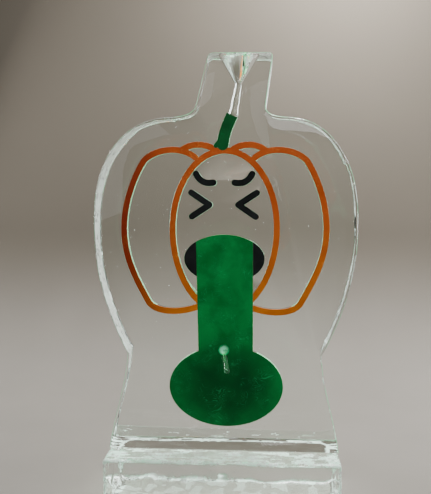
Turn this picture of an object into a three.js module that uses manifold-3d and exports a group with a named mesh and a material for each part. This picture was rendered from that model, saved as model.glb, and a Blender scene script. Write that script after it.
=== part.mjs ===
// Ice luge: a clear ice slab with coloured fills in its front face, on a clear ice block.
// Millimetres, +Z up, +X to the viewer's right, and -Y towards the viewer.
// The origin is at the middle of the block's underside.

import * as THREE from 'three';
import { mergeVertices } from 'three/addons/utils/BufferGeometryUtils.js';
import Module from 'manifold-3d';

const wasm = await Module();
wasm.setup();

// Base block
const BASE_WIDTH = 446;
const BASE_DEPTH = 254;
const BASE_HEIGHT = 100;
const BASE_CORNER_RADIUS = 14;
const BASE_EDGE_RADIUS = 6;

// Slab: heights are measured from its own underside
const SLAB_THICKNESS = 110;
const SLAB_SETBACK = 66;
const SLAB_WIDTH = 508;
const SLAB_EDGE_RADIUS = 6;
const FOOT_WIDTH = 446;
const WAIST_WIDTH = 376;
const WAIST_HEIGHT = 187;
const BELLY_HEIGHT = 243;
const FLANK_HEIGHT = 25;
const SHOULDER_HEIGHT = 189;
const NECK_HEIGHT = 122;
const NECK_BASE_WIDTH = 136;
const NECK_TOP_WIDTH = 124;
const NECK_OFFSET = 6;
const NECK_LEAN = 22.5;
const NECK_CORNER = 9;

// Funnel and channel, halfway through the slab's thickness
const FUNNEL_DIAMETER = 76;
const FUNNEL_DEPTH = 54;
const FUNNEL_OFFSET = -5.5;
const CHANNEL_TOP_DIAMETER = 12;
const CHANNEL_END_DIAMETER = 19;
const CHANNEL_END_OFFSET = 7;
const CHANNEL_END_RISE = 5;
const CHANNEL_RIPPLE = 0.8;
const BORE_DIAMETER = 7;
const BORE_COVER = 4;

// Fills
const FILL_DEPTH = 15;
const OUTLINE_WIDTH = 11.5;
const FACE_STROKE_WIDTH = 12;
const STEM_WIDTH = 22;
const SPUR_WIDTH = 8;

// Pumpkin, across the middle of its lines
const PUMPKIN_BOTTOM = 271;
const PUMPKIN_WIDTH = 388;
const LOBE_WIDTH = 200;
const LOBE_RISE = 148;
const LOBE_DROP = 161;
const BUMP_SPACING = 96;
const BUMP_WIDTH = 80;
const BUMP_HEIGHT = 26;
const TOP_SHIFT = -3;
const FACE_SHIFT = -1.5;

// Mouth, stream and puddle
const MOUTH_WIDTH = 154;
const MOUTH_HEIGHT = 93;
const STREAM_TOP_WIDTH = 109;
const STREAM_END_WIDTH = 103.5;
const STREAM_DRIFT = 5;
const PUDDLE_WIDTH = 219;
const PUDDLE_HEIGHT = 155;
const PUDDLE_CENTRE = 127;

// Spout
const SPOUT_HEIGHT = 182;
const SPOUT_OFFSET = 2;
const SPOUT_HOLE_DIAMETER = 21;
const SPOUT_HOLE_RISE = 15.5;
const TUBE_DIAMETER = 11;
const TUBE_BORE = 7;
const TUBE_REACH = 27.5;
const TUBE_DROP = 20.7;
const TUBE_SWAY = 5.7;
const TUBE_SEAT = 19;

// Clearance between pieces that touch, and the steps that round forms are made in
const GAP = 0.3;
const OVERCUT = 5;
const MERGE_DISTANCE = 1e-3;
const CURVE_STEPS = 11;
const LOBE_STEPS = 42;
const OVAL_SIDES = 56;
const CAP_STEPS = 6;
const EDGE_STEPS = 2;
const ROUND_SIDES = 28;
const BORE_SIDES = 8;
const BORE_STEPS = 36;

// Places that follow from the sizes above
const FRONT_Y = -BASE_DEPTH / 2 + SLAB_SETBACK;
const BACK_Y = FRONT_Y + SLAB_THICKNESS;
const MIDDLE_Y = (FRONT_Y + BACK_Y) / 2;
const POCKET_FLOOR_Y = FRONT_Y + FILL_DEPTH + GAP;
const BORE_Y = POCKET_FLOOR_Y + BORE_COVER + BORE_DIAMETER / 2;
const FLANK_START_Z = WAIST_HEIGHT + BELLY_HEIGHT;
const SHOULDER_START_Z = FLANK_START_Z + FLANK_HEIGHT;
const NECK_BASE_Z = SHOULDER_START_Z + SHOULDER_HEIGHT;
const SLAB_TOP_Z = NECK_BASE_Z + NECK_HEIGHT;
const LOBE_CENTRE_Z = PUMPKIN_BOTTOM + LOBE_DROP;
const LOBE_TOP_Z = LOBE_CENTRE_Z + LOBE_RISE;
const MOUTH_CENTRE_Z = LOBE_CENTRE_Z - LOBE_DROP * 0.366;
const TOP_CENTRE_X = NECK_OFFSET + NECK_LEAN;
const FUNNEL_X = TOP_CENTRE_X + FUNNEL_OFFSET;
const CHANNEL_END = { x: NECK_OFFSET + CHANNEL_END_OFFSET, z: NECK_BASE_Z + CHANNEL_END_RISE };

const vec2 = (x, z) => new THREE.Vector2(x, z);
const vec3 = (x, y, z) => new THREE.Vector3(x, y, z);
const mirrored = (points) => points.map((point) => vec2(-point.x, point.y));

// Solids that can be joined and cut

function toSolid(geometry) {
  const plain = geometry.clone();
  plain.deleteAttribute('normal');
  plain.deleteAttribute('uv');
  const merged = mergeVertices(plain, MERGE_DISTANCE);
  return new wasm.Manifold(new wasm.Mesh({
    numProp: 3,
    vertProperties: merged.attributes.position.array,
    triVerts: new Uint32Array(merged.index.array),
  }));
}

function toGeometry(solid) {
  const mesh = solid.getMesh();
  const geometry = new THREE.BufferGeometry();
  geometry.setAttribute('position', new THREE.BufferAttribute(mesh.vertProperties, 3));
  geometry.setIndex(new THREE.BufferAttribute(mesh.triVerts, 1));
  geometry.computeVertexNormals();
  return geometry;
}

function joined(solids) {
  return solids.reduce((whole, solid) => whole.add(solid));
}

// A plate with a front-view outline, between two depths
function plate(shape, frontY, backY) {
  const geometry = new THREE.ExtrudeGeometry(shape, {
    depth: backY - frontY,
    bevelEnabled: false,
    curveSegments: CURVE_STEPS,
  });
  geometry.rotateX(Math.PI / 2);
  geometry.translate(0, backY, 0);
  return toSolid(geometry);
}

// A fill and its pocket are the same outline, the pocket wider and deeper by the clearance
function fillPlate(shape) {
  return plate(shape, FRONT_Y, FRONT_Y + FILL_DEPTH);
}

function pocketPlate(shape) {
  return plate(shape, FRONT_Y - OVERCUT, POCKET_FLOOR_Y);
}

// A round rod along a straight line
function rod(start, end, diameter) {
  const along = end.clone().sub(start);
  const geometry = new THREE.CylinderGeometry(diameter / 2, diameter / 2, along.length(), ROUND_SIDES);
  const turn = new THREE.Quaternion().setFromUnitVectors(vec3(0, 1, 0), along.clone().normalize());
  geometry.applyQuaternion(turn);
  const middle = start.clone().add(end).multiplyScalar(0.5);
  geometry.translate(middle.x, middle.y, middle.z);
  return toSolid(geometry);
}

// Outlines in the front view

function bezierPoints(start, first, second, end) {
  return new THREE.CubicBezierCurve(start, first, second, end).getPoints(CURVE_STEPS);
}

// A drawn line of one width, round at its end and round or square at its start
function strokeShape(points, width, roundStart = true) {
  const half = width / 2;
  const normals = points.map((point, index) => {
    const before = points[Math.max(index - 1, 0)];
    const after = points[Math.min(index + 1, points.length - 1)];
    const along = after.clone().sub(before).normalize();
    return vec2(-along.y, along.x);
  });
  const side = (sign) => points.map(
    (point, index) => point.clone().addScaledVector(normals[index], sign * half));
  const cap = (centre, normal) => {
    const start = Math.atan2(normal.y, normal.x);
    return Array.from({ length: CAP_STEPS - 1 }, (_, index) => {
      const angle = start - Math.PI * (index + 1) / CAP_STEPS;
      return vec2(centre.x + half * Math.cos(angle), centre.y + half * Math.sin(angle));
    });
  };
  const last = points.length - 1;
  return new THREE.Shape([
    ...side(1),
    ...cap(points[last], normals[last]),
    ...side(-1).reverse(),
    ...(roundStart ? cap(points[0], normals[0].clone().negate()) : []),
  ]);
}

function ellipseShape(centre, width, height) {
  return new THREE.Shape(Array.from({ length: OVAL_SIDES }, (_, index) => {
    const angle = 2 * Math.PI * index / OVAL_SIDES;
    return vec2(centre.x + width / 2 * Math.cos(angle), centre.y + height / 2 * Math.sin(angle));
  }));
}

// A round corner between the sides that come from one point and go on to another
function roundedCorner(shape, from, corner, to) {
  const arcShare = 0.552;
  const start = from.clone().sub(corner).setLength(NECK_CORNER).add(corner);
  const end = to.clone().sub(corner).setLength(NECK_CORNER).add(corner);
  const first = start.clone().lerp(corner, arcShare);
  const second = end.clone().lerp(corner, arcShare);
  shape.lineTo(start.x, start.y);
  shape.bezierCurveTo(first.x, first.y, second.x, second.y, end.x, end.y);
}

// The bottle outline: a flared foot, a sharp waist, a round belly and shoulders, and a leaning neck
function slabOutline() {
  const foot = FOOT_WIDTH / 2;
  const waist = WAIST_WIDTH / 2;
  const belly = SLAB_WIDTH / 2;
  const neckBase = NECK_BASE_WIDTH / 2;
  const neckTop = NECK_TOP_WIDTH / 2;
  const collar = (belly - neckBase) * 0.27;
  const filletRise = NECK_HEIGHT * 0.18;
  const shape = new THREE.Shape();
  const sideCurves = (sign) => ({
    footCurve: [vec2(sign * (foot - (foot - waist) * 0.26), WAIST_HEIGHT * 0.37),
      vec2(sign * (waist + (foot - waist) * 0.09), WAIST_HEIGHT * 0.64), vec2(sign * waist, WAIST_HEIGHT)],
    bellyCurve: [vec2(sign * (waist + (belly - waist) * 0.5), WAIST_HEIGHT + BELLY_HEIGHT * 0.26),
      vec2(sign * belly, FLANK_START_Z - BELLY_HEIGHT * 0.41), vec2(sign * belly, FLANK_START_Z)],
    shoulderCurve: [vec2(sign * belly, SHOULDER_START_Z + SHOULDER_HEIGHT * 0.56),
      vec2(sign * (belly - (belly - neckBase) * 0.285), NECK_BASE_Z - SHOULDER_HEIGHT * 0.02),
      vec2(NECK_OFFSET + sign * (neckBase + collar), NECK_BASE_Z)],
  });
  const right = sideCurves(1);
  const left = sideCurves(-1);
  const neckSide = (sign, height) => {
    const share = height / NECK_HEIGHT;
    const centre = NECK_OFFSET + NECK_LEAN * share;
    return vec2(centre + sign * (neckBase + (neckTop - neckBase) * share), NECK_BASE_Z + height);
  };
  shape.moveTo(-foot, 0);
  shape.lineTo(foot, 0);
  const follow = (points) => shape.bezierCurveTo(...points.flatMap((point) => [point.x, point.y]));
  follow(right.footCurve);
  follow(right.bellyCurve);
  shape.lineTo(belly, SHOULDER_START_Z);
  follow(right.shoulderCurve);
  const rightCollar = neckSide(1, filletRise);
  shape.quadraticCurveTo(neckSide(1, 0).x, NECK_BASE_Z, rightCollar.x, rightCollar.y);
  roundedCorner(shape, rightCollar, neckSide(1, NECK_HEIGHT), vec2(TOP_CENTRE_X, SLAB_TOP_Z));
  roundedCorner(shape, vec2(TOP_CENTRE_X, SLAB_TOP_Z), neckSide(-1, NECK_HEIGHT), neckSide(-1, 0));
  const leftCollar = neckSide(-1, filletRise);
  shape.lineTo(leftCollar.x, leftCollar.y);
  const leftShoulderEnd = left.shoulderCurve[2];
  shape.quadraticCurveTo(neckSide(-1, 0).x, NECK_BASE_Z, leftShoulderEnd.x, leftShoulderEnd.y);
  follow([left.shoulderCurve[1], left.shoulderCurve[0], vec2(-belly, SHOULDER_START_Z)]);
  shape.lineTo(-belly, FLANK_START_Z);
  follow([left.bellyCurve[1], left.bellyCurve[0], vec2(-waist, WAIST_HEIGHT)]);
  follow([left.footCurve[1], left.footCurve[0], vec2(-foot, 0)]);
  return shape;
}

// The middle lobe's line, by its angle from the top, positive to the right
function lobePoint(angle) {
  const rise = Math.cos(angle) > 0 ? LOBE_RISE : LOBE_DROP;
  return vec2(LOBE_WIDTH / 2 * Math.sin(angle), LOBE_CENTRE_Z + rise * Math.cos(angle));
}

function lobeLine(from, to, steps) {
  return Array.from({ length: steps + 1 }, (_, index) => lobePoint(from + (to - from) * index / steps));
}

// One side lobe's line, from the middle lobe's top out, round and back to the stream
function sideLobeLine() {
  const half = PUMPKIN_WIDTH / 2;
  const height = LOBE_TOP_Z - PUMPKIN_BOTTOM;
  const at = (share, rise) => vec2(half * share, PUMPKIN_BOTTOM + height * rise);
  const upperCorner = at(0.8, 0.94);
  const widest = at(1, 0.52);
  const lowerCorner = at(0.748, 0.052);
  return [
    ...bezierPoints(at(0.29, 0.955), at(0.41, 1.025), at(0.67, 1.02), upperCorner),
    ...bezierPoints(upperCorner, at(0.905, 0.84), at(1, 0.675), widest).slice(1),
    ...bezierPoints(widest, at(1, 0.337), at(0.887, 0.207), lowerCorner).slice(1),
    ...bezierPoints(lowerCorner, at(0.66, -0.016), at(0.41, -0.01), at(0.24, 0.036)).slice(1),
  ];
}

// One of the two low arcs that rise beside the stem
function bumpLine() {
  const centre = vec2(BUMP_SPACING / 2, LOBE_TOP_Z - BUMP_HEIGHT * 0.58);
  return Array.from({ length: CURVE_STEPS + 1 }, (_, index) => {
    const angle = THREE.MathUtils.degToRad(33 + 115 * index / CURVE_STEPS);
    return vec2(centre.x + BUMP_WIDTH / 2 * Math.cos(angle), centre.y + BUMP_HEIGHT * Math.sin(angle));
  });
}

function shifted(points, across) {
  return points.map((point) => vec2(point.x + across, point.y));
}

function outlineShapes(width) {
  const lobeEnd = Math.PI * 0.84;
  const side = sideLobeLine();
  const bump = bumpLine();
  return [
    strokeShape(lobeLine(-lobeEnd, lobeEnd, LOBE_STEPS), width),
    strokeShape(side, width),
    strokeShape(mirrored(side).reverse(), width),
    strokeShape(shifted(bump, TOP_SHIFT), width),
    strokeShape(shifted(mirrored(bump), TOP_SHIFT).reverse(), width),
  ];
}

// The stem leans right as it rises, to meet the end of the channel in the neck
function stemLine() {
  const foot = vec2(lobePoint(0).x + TOP_SHIFT - 1.5, LOBE_TOP_Z + STEM_WIDTH / 2);
  const head = vec2(CHANNEL_END.x, CHANNEL_END.z - 2);
  const bend = vec2(foot.x + 2, foot.y + (head.y - foot.y) * 0.43);
  return new THREE.QuadraticBezierCurve(head, bend, foot).getPoints(CURVE_STEPS);
}

// The stem, square where the channel ends, with a small spur at its foot
function stemShapes(grow) {
  const line = stemLine();
  const foot = line[line.length - 1];
  const spur = [vec2(foot.x - 7, foot.y + 6), vec2(foot.x - 13.5, foot.y - 2)];
  const head = line[0].clone().sub(line[1]).setLength(grow).add(line[0]);
  return [
    strokeShape([head, ...line.slice(1)], STEM_WIDTH + 2 * grow, false),
    strokeShape(spur, SPUR_WIDTH + 2 * grow),
  ];
}

// A place on the face, in shares of the middle lobe's half width and rise
function onFace(across, up) {
  return vec2(LOBE_WIDTH / 2 * across, LOBE_CENTRE_Z + LOBE_RISE * up);
}

function browLine() {
  return bezierPoints(onFace(0.203, 0.588), onFace(0.34, 0.571), onFace(0.46, 0.591), onFace(0.537, 0.7));
}

// An eye squeezed shut: two strokes that meet in a point towards the nose
function eyeLines() {
  const point = onFace(0.277, 0.301);
  return [[point, onFace(0.626, 0.457)], [point, onFace(0.611, 0.149)]];
}

function faceShapes(lines, side, grow) {
  return lines.map((line) => {
    const turned = side < 0 ? mirrored(line) : line;
    return strokeShape(shifted(turned, FACE_SHIFT), FACE_STROKE_WIDTH + 2 * grow);
  });
}

function mouthShape(grow) {
  return ellipseShape(vec2(0, MOUTH_CENTRE_Z), MOUTH_WIDTH + 2 * grow, MOUTH_HEIGHT + 2 * grow);
}

// The stream fills the mouth to its upper lip and runs down into the puddle
function streamShapes(grow) {
  const topHalf = STREAM_TOP_WIDTH / 2 + grow;
  const endHalf = STREAM_END_WIDTH / 2 + grow;
  const lipAngle = Math.acos(topHalf / (MOUTH_WIDTH / 2 + grow));
  const lip = Array.from({ length: CURVE_STEPS + 1 }, (_, index) => {
    const angle = lipAngle + (Math.PI - 2 * lipAngle) * index / CURVE_STEPS;
    return vec2((MOUTH_WIDTH / 2 + grow) * Math.cos(angle),
      MOUTH_CENTRE_Z + (MOUTH_HEIGHT / 2 + grow) * Math.sin(angle));
  });
  const fall = [vec2(STREAM_DRIFT - endHalf, PUDDLE_CENTRE), vec2(STREAM_DRIFT + endHalf, PUDDLE_CENTRE)];
  const puddle = ellipseShape(vec2(STREAM_DRIFT, PUDDLE_CENTRE), PUDDLE_WIDTH + 2 * grow,
    PUDDLE_HEIGHT + 2 * grow);
  return [new THREE.Shape([...fall, ...lip]), puddle];
}

// Fills and pockets

const fillOf = (shapes) => joined(shapes.map(fillPlate));
const pocketOf = (shapes) => joined(shapes.map(pocketPlate));

const pockets = {
  outline: pocketOf(outlineShapes(OUTLINE_WIDTH + 2 * GAP)),
  stem: pocketOf(stemShapes(GAP)),
  leftBrow: pocketOf(faceShapes([browLine()], -1, GAP)),
  rightBrow: pocketOf(faceShapes([browLine()], 1, GAP)),
  leftEye: pocketOf(faceShapes(eyeLines(), -1, GAP)),
  rightEye: pocketOf(faceShapes(eyeLines(), 1, GAP)),
  mouth: pocketOf([mouthShape(GAP)]),
  stream: pocketOf(streamShapes(GAP)),
};

const mouthFill = fillOf([mouthShape(0)]).subtract(pockets.stream);

// Spout: the tube's line runs down and forward out of the stream

const spoutStart = vec3(SPOUT_OFFSET, FRONT_Y, SPOUT_HEIGHT);
const spoutEnd = vec3(SPOUT_OFFSET + TUBE_SWAY, FRONT_Y - TUBE_REACH, SPOUT_HEIGHT - TUBE_DROP);
const spoutWay = spoutEnd.clone().sub(spoutStart);
const alongSpout = (depth) => spoutStart.clone().addScaledVector(spoutWay, -depth / TUBE_REACH);
const spoutBoreEnd = alongSpout(BORE_Y - FRONT_Y);

function spoutHole() {
  const centre = vec3(alongSpout(FILL_DEPTH / 2).x, FRONT_Y, SPOUT_HEIGHT + SPOUT_HOLE_RISE);
  const front = centre.clone().setY(FRONT_Y - OVERCUT);
  const floor = centre.clone().setY(POCKET_FLOOR_Y);
  return rod(front, floor, SPOUT_HOLE_DIAMETER);
}

function tubeSeat() {
  return rod(alongSpout(-OVERCUT), spoutBoreEnd, TUBE_DIAMETER + 2 * GAP);
}

function spoutTube() {
  const inner = alongSpout(TUBE_SEAT);
  const bore = rod(alongSpout(TUBE_SEAT + OVERCUT), alongSpout(-TUBE_REACH - OVERCUT), TUBE_BORE);
  return rod(inner, spoutEnd, TUBE_DIAMETER).subtract(bore);
}

// Funnel, channel and bore

function funnel() {
  const rim = FUNNEL_DIAMETER / 2;
  const tip = CHANNEL_TOP_DIAMETER / 2;
  const flare = (rim - tip) / FUNNEL_DEPTH;
  const profile = [
    vec2(0, -FUNNEL_DEPTH),
    vec2(tip, -FUNNEL_DEPTH),
    vec2(rim + flare * OVERCUT, OVERCUT),
    vec2(0, OVERCUT),
  ];
  const geometry = new THREE.LatheGeometry(profile, ROUND_SIDES);
  geometry.rotateX(Math.PI / 2);
  geometry.translate(FUNNEL_X, MIDDLE_Y, SLAB_TOP_Z);
  return toSolid(geometry);
}

// The channel widens as it falls, with melted ripples in its wall
function channel() {
  const start = vec3(CHANNEL_END.x, MIDDLE_Y, CHANNEL_END.z);
  const end = vec3(FUNNEL_X, MIDDLE_Y, SLAB_TOP_Z - FUNNEL_DEPTH + 1);
  const along = end.clone().sub(start);
  const length = along.length();
  const wall = Array.from({ length: CURVE_STEPS + 1 }, (_, index) => {
    const share = index / CURVE_STEPS;
    const radius = THREE.MathUtils.lerp(CHANNEL_END_DIAMETER, CHANNEL_TOP_DIAMETER, share) / 2;
    return vec2(radius + CHANNEL_RIPPLE * Math.sin(share * Math.PI * 5) * (1 - share), share * length);
  });
  const geometry = new THREE.LatheGeometry([vec2(0, 0), ...wall, vec2(0, length)], ROUND_SIDES);
  geometry.applyQuaternion(new THREE.Quaternion().setFromUnitVectors(vec3(0, 1, 0), along.normalize()));
  geometry.translate(start.x, start.y, start.z);
  return toSolid(geometry);
}

// From the channel's end the bore runs close behind the fills, which hide it from the front:
// down the stem, round the middle lobe's left side and behind the stream to the spout
function boreRoute() {
  const stem = stemLine();
  const stemMiddle = stem[Math.floor(stem.length / 2)];
  const stemFoot = stem[stem.length - 1];
  const behind = (point, y = BORE_Y) => vec3(point.x, y, point.y);
  const lobeEnd = lobePoint(-Math.PI * 0.81);
  const lastPoint = vec2(spoutBoreEnd.x, spoutBoreEnd.z);
  return new THREE.CatmullRomCurve3([
    vec3(CHANNEL_END.x, MIDDLE_Y, CHANNEL_END.z + BORE_DIAMETER),
    behind(stemMiddle, (MIDDLE_Y + BORE_Y) / 2),
    behind(stemFoot),
    ...lobeLine(-Math.PI * 0.11, -Math.PI * 0.81, CURVE_STEPS).map((point) => behind(point)),
    behind(lobeEnd.clone().lerp(lastPoint, 0.35)),
    behind(lobeEnd.clone().lerp(lastPoint, 0.75)),
    spoutBoreEnd,
  ]);
}

function bore() {
  const section = new THREE.Shape();
  section.absarc(0, 0, BORE_DIAMETER / 2, 0, 2 * Math.PI);
  return toSolid(new THREE.ExtrudeGeometry(section, {
    steps: BORE_STEPS,
    curveSegments: BORE_SIDES / 2,
    extrudePath: boreRoute(),
  }));
}

// The two blocks of ice

function slab() {
  const geometry = new THREE.ExtrudeGeometry(slabOutline(), {
    depth: SLAB_THICKNESS - 2 * SLAB_EDGE_RADIUS,
    bevelThickness: SLAB_EDGE_RADIUS,
    bevelSize: SLAB_EDGE_RADIUS,
    bevelOffset: -SLAB_EDGE_RADIUS,
    bevelSegments: EDGE_STEPS,
    curveSegments: CURVE_STEPS,
  });
  geometry.rotateX(Math.PI / 2);
  geometry.translate(0, BACK_Y - SLAB_EDGE_RADIUS, 0);
  const cuts = [...Object.values(pockets), funnel(), channel(), bore(), tubeSeat()];
  return cuts.reduce((solid, cut) => solid.subtract(cut), toSolid(geometry));
}

function baseBlock() {
  const halfWidth = BASE_WIDTH / 2;
  const halfDepth = BASE_DEPTH / 2;
  const corner = BASE_CORNER_RADIUS;
  const shape = new THREE.Shape();
  shape.absarc(halfWidth - corner, halfDepth - corner, corner, 0, Math.PI / 2);
  shape.absarc(corner - halfWidth, halfDepth - corner, corner, Math.PI / 2, Math.PI);
  shape.absarc(corner - halfWidth, corner - halfDepth, corner, Math.PI, Math.PI * 1.5);
  shape.absarc(halfWidth - corner, corner - halfDepth, corner, Math.PI * 1.5, Math.PI * 2);
  const geometry = new THREE.ExtrudeGeometry(shape, {
    depth: BASE_HEIGHT - 2 * BASE_EDGE_RADIUS,
    bevelThickness: BASE_EDGE_RADIUS,
    bevelSize: BASE_EDGE_RADIUS,
    bevelOffset: -BASE_EDGE_RADIUS,
    bevelSegments: EDGE_STEPS,
    curveSegments: CAP_STEPS,
  });
  geometry.translate(0, 0, BASE_EDGE_RADIUS);
  return toSolid(geometry);
}

// Materials

const finish = (color, roughness) => new THREE.MeshStandardMaterial({ color, roughness });
const seeThrough = (color, roughness, opacity) => new THREE.MeshStandardMaterial({
  color, roughness, transparent: true, opacity });

const ice = seeThrough(0xdcebe6, 0.08, 0.35);
const clearTube = seeThrough(0xe6eeea, 0.1, 0.5);
const orangeFill = finish(0xb4501a, 0.5);
const greenFill = finish(0x005a24, 0.5);
const stemFill = finish(0x004a1e, 0.5);
const blackFill = finish(0x0a0c0b, 0.5);

function piece(name, solid, material) {
  const mesh = new THREE.Mesh(toGeometry(solid), material);
  mesh.name = name;
  return mesh;
}

// Assembly: the slab, its fills and the tube stand together on the block

const upright = new THREE.Group();
upright.position.set(0, 0, BASE_HEIGHT + GAP);
upright.add(
  piece('carved_slab', slab(), ice),
  piece('pumpkin_outline',
    fillOf(outlineShapes(OUTLINE_WIDTH)).subtract(pockets.stem).subtract(pockets.stream), orangeFill),
  piece('stem_inlay', fillOf(stemShapes(0)), stemFill),
  piece('left_brow', fillOf(faceShapes([browLine()], -1, 0)), blackFill),
  piece('right_brow', fillOf(faceShapes([browLine()], 1, 0)), blackFill),
  piece('left_eye', fillOf(faceShapes(eyeLines(), -1, 0)), blackFill),
  piece('right_eye', fillOf(faceShapes(eyeLines(), 1, 0)), blackFill),
  piece('left_mouth', mouthFill.trimByPlane([-1, 0, 0], 0), blackFill),
  piece('right_mouth', mouthFill.trimByPlane([1, 0, 0], 0), blackFill),
  piece('stream_and_puddle',
    fillOf(streamShapes(0)).subtract(spoutHole()).subtract(tubeSeat()), greenFill),
  piece('spout_tube', spoutTube(), clearTube),
);

const sculpture = new THREE.Group();
sculpture.add(piece('base_block', baseBlock(), ice), upright);

export default sculpture;
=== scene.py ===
import math

import bmesh
import bpy
from mathutils import Matrix, Vector, noise


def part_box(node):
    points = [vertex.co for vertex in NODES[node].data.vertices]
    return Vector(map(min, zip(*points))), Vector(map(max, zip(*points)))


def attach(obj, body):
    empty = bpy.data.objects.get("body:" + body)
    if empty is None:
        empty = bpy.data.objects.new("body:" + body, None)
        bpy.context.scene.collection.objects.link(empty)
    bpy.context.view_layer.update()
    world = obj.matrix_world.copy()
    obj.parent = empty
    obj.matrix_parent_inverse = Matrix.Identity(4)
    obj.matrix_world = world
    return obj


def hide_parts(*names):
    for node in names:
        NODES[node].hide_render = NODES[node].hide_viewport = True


bl_info = {
    "name": "Ice Luge Sculpture",
    "version": (1, 0, 0),
    "blender": (4, 5, 0),
    "location": "3D View > Sidebar > Ice Luge",
    "description": "Dresses the ice slab, its coloured fills, its spout and the ice block under it",
    "category": "Object",
}

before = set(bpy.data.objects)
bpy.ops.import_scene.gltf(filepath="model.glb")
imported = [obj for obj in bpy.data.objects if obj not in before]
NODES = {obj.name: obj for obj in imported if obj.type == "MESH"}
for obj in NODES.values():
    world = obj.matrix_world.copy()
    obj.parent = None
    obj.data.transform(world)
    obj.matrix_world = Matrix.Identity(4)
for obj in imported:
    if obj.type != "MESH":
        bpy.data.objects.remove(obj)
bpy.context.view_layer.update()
SLAB_LOW, SLAB_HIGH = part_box("carved_slab")
BASE_LOW, BASE_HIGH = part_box("base_block")
FILL_LOW, FILL_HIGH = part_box("stream_and_puddle")
TUBE_LOW, TUBE_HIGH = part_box("spout_tube")
BLACK_FILLS = ("left_brow", "right_brow", "left_eye", "right_eye", "left_mouth", "right_mouth")

MM = 0.001
MERGE_DISTANCE = 0.002 * MM
LEAST_MOVE = 0.001 * MM
ICE_IOR = 1.31
TUBE_IOR = 1.4
WHITE = (1.0, 1.0, 1.0, 1.0)
BLACK = (0.0, 0.0, 0.0, 1.0)
CORNER_TURN = math.radians(17)
SLAB_SHADING = math.radians(32)
ROUND_SHADING = math.radians(60)
SMOOTHING_PASSES = 8
RIM_ROWS = 7
TUBE_SIDES, TUBE_ROWS, LIP_ROWS = 40, 26, 5
LINING_SIDES, LINING_ROWS = 48, 8
BUBBLE_SEGMENTS, BUBBLE_RINGS = 8, 4
LEAST_SLAB_FACES = 1000


# Settings that a user would change

def size_of(name, description, default, least=0.0):
    return bpy.props.FloatProperty(
        name=name, description=description, default=default, min=least, unit="LENGTH", subtype="DISTANCE",
        precision=4)


def share_of(name, description, default):
    return bpy.props.FloatProperty(
        name=name, description=description, default=default, min=0.0, max=1.0, subtype="FACTOR")


def colour_of(name, description, default):
    return bpy.props.FloatVectorProperty(
        name=name, description=description, default=default, size=3, min=0.0, max=1.0, subtype="COLOR")


def angle_of(name, description, degrees):
    return bpy.props.FloatProperty(
        name=name, description=description, default=math.radians(degrees), subtype="ANGLE", unit="ROTATION")


def number_of(name, description, default):
    return bpy.props.FloatProperty(name=name, description=description, default=default)


def count_of(name, description, default):
    return bpy.props.IntProperty(name=name, description=description, default=default, min=0)


class LugeIceSettings(bpy.types.PropertyGroup):
    rim_radius: size_of("Rim radius", "Mean radius of the slab's melted edges", 5 * MM)
    rim_melt: size_of("Rim melt", "How far the melt bites into the slab's sides", 1.1 * MM)
    face_melt: size_of("Face melt", "How far the slab's faces have melted back", 0.15 * MM)
    outline_step: size_of("Outline step", "Spacing of the points round the slab's outline", 3 * MM, 1 * MM)
    wall_step: size_of("Wall step", "Spacing of the rows across the slab's sides", 4 * MM, 1 * MM)
    block_radius: size_of("Block edge radius", "Mean radius of the block's melted edges", 5 * MM)
    block_melt: size_of("Block melt", "How far the melt bites into the block's edges", 3 * MM)
    block_step: size_of("Block step", "Spacing of the points on the block", 3 * MM, 1 * MM)
    block_dimple: size_of("Block dimples", "Depth of the hollows melted into the block's sides", 6 * MM)
    tint: colour_of("Ice tint", "Colour that clear ice gives to light", (0.95, 0.985, 0.965))
    # Frost colour: pale frost tinted mint green, painted green glints as of green light caught at the frosty
    # edges.
    frost: colour_of("Frost", "Colour of frosty, melted edges", (0.42, 1.0, 0.70))
    # Side colour: pale matte frost with a painted green glow.
    side: colour_of("Side", "Colour of the slab's matte sides", (0.6, 0.78, 0.68))
    # Milled wall colour: a painted green glow that lights the pockets' rough walls.
    milled_glow: colour_of("Milled wall", "Colour of the pockets' rough walls", (0.3, 1.0, 0.5))
    # Crust colour: white crust with painted green glints.
    crust: colour_of("Crust", "Colour of the white crust on melted edges", (0.72, 1.0, 0.86))
    crust_tint: colour_of("Crust tint", "Colour of the clearer spots in the crust", (0.95, 1.0, 0.97))
    crust_share: share_of("Crust share", "How much of the frosty edges the crust covers", 0.46)
    # Tube colour: a painted green glow on the clear tube.
    tube: colour_of("Tube", "Colour that the spout tube gives to light", (0.52, 0.93, 0.68))
    # Lining colours: a painted green glow in the drilled ice, bright mint at the root and green at the rim.
    lining_glow: colour_of("Lining", "Colour of the drilled ice round the tube's root", (0.26, 1.0, 0.6))
    lining_rim_glow: colour_of("Lining rim", "Colour of the drilled ice at the hole's rim", (0.0, 0.42, 0.13))
    shade: colour_of("Shade", "Light that clear ice lets through", (0.965, 0.99, 0.975))
    bubbles: count_of("Bubbles", "Points tried for air bubbles in the slab", 600)
    block_bubbles: count_of("Block bubbles", "Points tried for air bubbles in the block", 260)
    bubble_radius: size_of("Bubble radius", "Radius of the largest air bubble", 0.9 * MM)


class LugeFillSettings(bpy.types.PropertyGroup):
    orange: colour_of("Orange", "Pumpkin outline", (0.42, 0.075, 0.009))
    amber: colour_of("Amber", "Lower parts of the pumpkin outline", (0.58, 0.175, 0.015))
    rust: colour_of("Rust", "Far left of the pumpkin outline", (0.18, 0.018, 0.004))
    yellow: colour_of("Yellow", "Tool marks in the pumpkin outline", (0.8, 0.34, 0.05))
    green: colour_of("Green", "Stream and puddle", (0.0, 0.115, 0.02))
    bright_green: colour_of("Bright green", "Stream's top and puddle's ends", (0.002, 0.23, 0.045))
    deep_green: colour_of("Deep green", "Middle of the puddle, and the stem", (0.0, 0.045, 0.01))
    scratch: colour_of("Scratches", "Tool marks in the stream and puddle", (0.03, 0.42, 0.14))
    black: colour_of("Black", "Brows, eyes and mouth", (0.004, 0.005, 0.005))


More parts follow.
